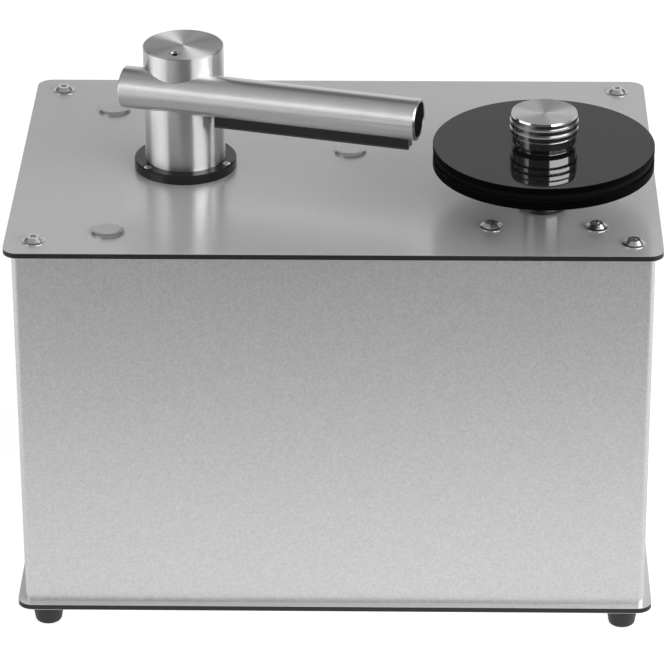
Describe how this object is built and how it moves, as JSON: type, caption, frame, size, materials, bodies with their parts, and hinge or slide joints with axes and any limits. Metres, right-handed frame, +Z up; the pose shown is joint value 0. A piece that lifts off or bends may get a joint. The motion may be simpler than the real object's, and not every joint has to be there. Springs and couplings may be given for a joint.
{
  "type": "record cleaning machine",
  "caption": "Flat metal case on rubber feet; a hollow suction arm swings from a sprung post beside a motor-driven platter with a screw-down clamp disc and turned knob.",
  "frame": {"origin": "middle of the footprint on the surface the feet stand on", "axes": "+X to the machine's right, +Y to its back, +Z up; the front faces -Y"},
  "size_m": [0.335, 0.225, 0.2908],
  "materials": {
    "sheet_aluminium": "satin, fine brushed",
    "case_aluminium": "satin, fine bead blasted",
    "turned_aluminium": "turned and polished",
    "black_gloss": "glossy black",
    "black_rubber": "matte",
    "black_satin": "satin black",
    "black_plastic": "satin",
    "rocker_plastic": "satin",
    "velvet": "pile",
    "bright_steel": "polished",
    "steel": "plain",
    "plain_aluminium": "plain",
    "bronze": "plain",
    "nylon": "natural",
    "tank_plastic": "natural",
    "board": "varnished"
  },
  "bodies": {
    "base": {"arm_flange": "black_satin", "arm_sleeve": "plain_aluminium", "body_shell": "case_aluminium", "bottom_plate": "sheet_aluminium", "corner_posts": "plain_aluminium", "corner_screws": "bright_steel", "drain_port": "black_plastic", "drive_bracket": "steel", "drive_motor": "steel", "drive_screws": "bright_steel", "drive_spacers": "steel", "fan_housing": "plain_aluminium", "flange_screws": "bright_steel", "foot_front_left": "black_rubber", "foot_front_right": "black_rubber", "foot_rear_left": "black_rubber", "foot_rear_right": "black_rubber", "foot_screws": "bright_steel", "lift_spring": "steel", "mains_inlet": "black_plastic", "motor_screws": "bright_steel", "panel_screws": "bright_steel", "platter_switch": "black_plastic", "post_seal": "black_rubber", "rear_panel": "case_aluminium", "spindle_bearing": "bronze", "spindle_bush": "black_satin", "suction_hose": "black_rubber", "supply_board": "board", "tank_bolts": "bright_steel", "tank_gasket": "black_rubber", "tank_lid": "plain_aluminium", "tank_spacers": "plain_aluminium", "top_plate": "sheet_aluminium", "vacuum_motor": "steel", "vacuum_pad": "black_rubber", "vacuum_switch": "black_plastic", "waste_tank": "tank_plastic"},
    "arm_ring": {"thrust_washer": "steel"},
    "arm": {"arm_post": "turned_aluminium", "arm_tube": "turned_aluminium", "tube_plug_front": "black_plastic", "tube_plug_rear": "black_plastic", "slot_nozzle": "black_plastic", "velvet_strips": "velvet", "arm_set_screw": "bright_steel"},
    "platter": {"platter_disc": "black_gloss", "platter_hub": "turned_aluminium", "hub_screws": "bright_steel", "spindle": "steel", "drive_gear": "nylon"},
    "clamp": {"clamp_disc": "black_gloss", "clamp_seal": "black_rubber"},
    "knob": {"clamp_knob": "turned_aluminium"},
    "pinion": {"drive_pinion": "bronze"},
    "fan": {"vacuum_rotor": "plain_aluminium"},
    "vacuum_key": {"vacuum_rocker": "rocker_plastic"},
    "platter_key": {"platter_rocker": "rocker_plastic"},
    "plug": {"drain_plug": "black_rubber"}
  },
  "joints": [
    {"name": "arm_lift", "type": "slide", "parent": "base", "child": "arm_ring", "axis": [0, 0, 1], "range_m": [-0.004, 0], "stiffness_N_per_m": 1000, "springref_m": 0.008, "deforming": ["lift_spring"]},
    {"name": "arm_swing", "type": "hinge", "parent": "arm_ring", "child": "arm", "pos_m": [-0.08, -0.0015, 0.2694], "axis": [0, 0, 1], "continuous": true},
    {"name": "platter_spin", "type": "hinge", "parent": "base", "child": "platter", "pos_m": [0.1075, -0.051, 0.2454], "axis": [0, 0, 1], "continuous": true},
    {"name": "clamp_lift", "type": "slide", "parent": "platter", "child": "clamp", "axis": [0, 0, 1], "range_m": [0, 0.01]},
    {"name": "knob_turn", "type": "hinge", "parent": "clamp", "child": "knob", "pos_m": [0.1075, -0.051, 0.2574], "axis": [0, 0, 1], "range_deg": [0, 3600]},
    {"name": "pinion_spin", "type": "hinge", "parent": "base", "child": "pinion", "pos_m": [0.1075, -0.0222, 0.203], "axis": [0, 0, 1], "continuous": true},
    {"name": "fan_spin", "type": "hinge", "parent": "base", "child": "fan", "pos_m": [0.095, 0.038, 0.09], "axis": [0, 0, 1], "continuous": true},
    {"name": "vacuum_rocker_tip", "type": "hinge", "parent": "base", "child": "vacuum_key", "pos_m": [0.1615, -0.038, 0.165], "axis": [0, 1, 0], "range_deg": [0, 20]},
    {"name": "platter_rocker_tip", "type": "hinge", "parent": "base", "child": "platter_key", "pos_m": [0.1615, -0.012, 0.165], "axis": [0, 1, 0], "range_deg": [-10, 10]},
    {"name": "drain_plug_pull", "type": "slide", "parent": "base", "child": "plug", "axis": [-1, 0, 0], "range_m": [0, 0.02]}
  ],
  "couplings": [
    {"joint": "clamp_lift", "follows": "knob_turn", "m_per_rad": 0.00015915},
    {"joint": "pinion_spin", "follows": "platter_spin", "ratio": -5}
  ]
}
